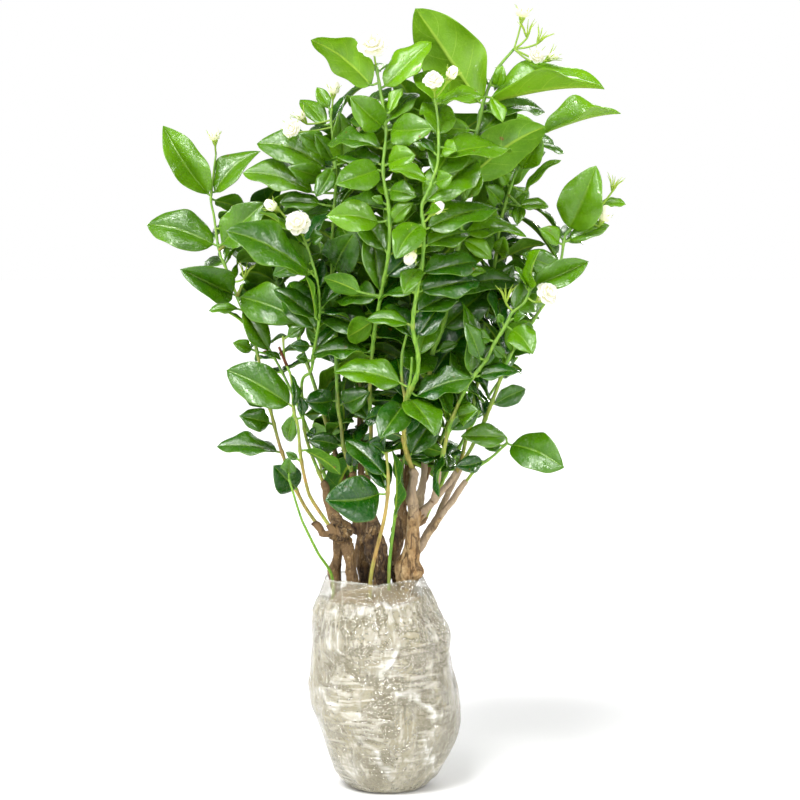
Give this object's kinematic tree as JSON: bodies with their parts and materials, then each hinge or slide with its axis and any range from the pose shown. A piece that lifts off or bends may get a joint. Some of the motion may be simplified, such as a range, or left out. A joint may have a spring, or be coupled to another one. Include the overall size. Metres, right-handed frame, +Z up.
{
  "type": "jasmine plant with film-wrapped root ball",
  "caption": "Bushy jasmine plant with glossy oval leaves and white buds and blooms, its root ball wrapped in clear crinkled film.",
  "frame": {"origin": "middle of the flat foot under the root ball, on the surface that the plant stands on", "axes": "+Z up along the plant, +X to the right in the picture, +Y away from the viewer"},
  "size_m": [0.3627, 0.2586, 0.5925],
  "materials": {
    "film": "clear crinkled stretch film in several layers",
    "soil": "moist loose soil, matte",
    "bark": "rough knobby bark",
    "leaf": "waxy green leaf with a soft gloss",
    "petal": "matte white petal"
  },
  "bodies": {
    "root": {"bloom_01": "petal", "bloom_02": "petal", "bloom_03": "petal", "bloom_04": "petal", "bloom_05": "petal", "bloom_06": "petal", "bloom_07": "petal", "bloom_08": "petal", "bloom_09": "petal", "bloom_10": "petal", "bloom_11": "petal", "bloom_12": "petal", "bloom_13": "petal", "bloom_14": "petal", "bloom_15": "petal", "bloom_16": "petal", "bloom_17": "petal", "bloom_18": "petal", "bloom_19": "petal", "bloom_20": "petal", "film_wrap": "film", "shoot_back_left_1": "leaf", "shoot_back_left_2": "leaf", "shoot_back_left_3": "leaf", "shoot_back_left_4": "leaf", "shoot_back_left_5": "leaf", "shoot_back_right_1": "leaf", "shoot_back_right_2": "leaf", "shoot_back_right_3": "leaf", "shoot_back_right_4": "leaf", "shoot_back_right_5": "leaf", "shoot_crown": "leaf", "shoot_left_canes": "leaf", "shoot_left_middle": "leaf", "shoot_left_outer": "leaf", "shoot_low_middle": "leaf", "shoot_low_right": "leaf", "shoot_middle": "leaf", "shoot_right_inner": "leaf", "shoot_right_middle": "leaf", "shoot_right_outer": "leaf", "shoot_small_oval": "leaf", "shoot_top_left": "leaf", "shoot_upper_left": "leaf", "shoot_yellow_cane": "leaf", "soil_ball": "soil", "trunk_back_left": "bark", "trunk_back_right": "bark", "trunk_left": "bark", "trunk_middle": "bark", "trunk_right": "bark"}
  },
  "joints": []
}
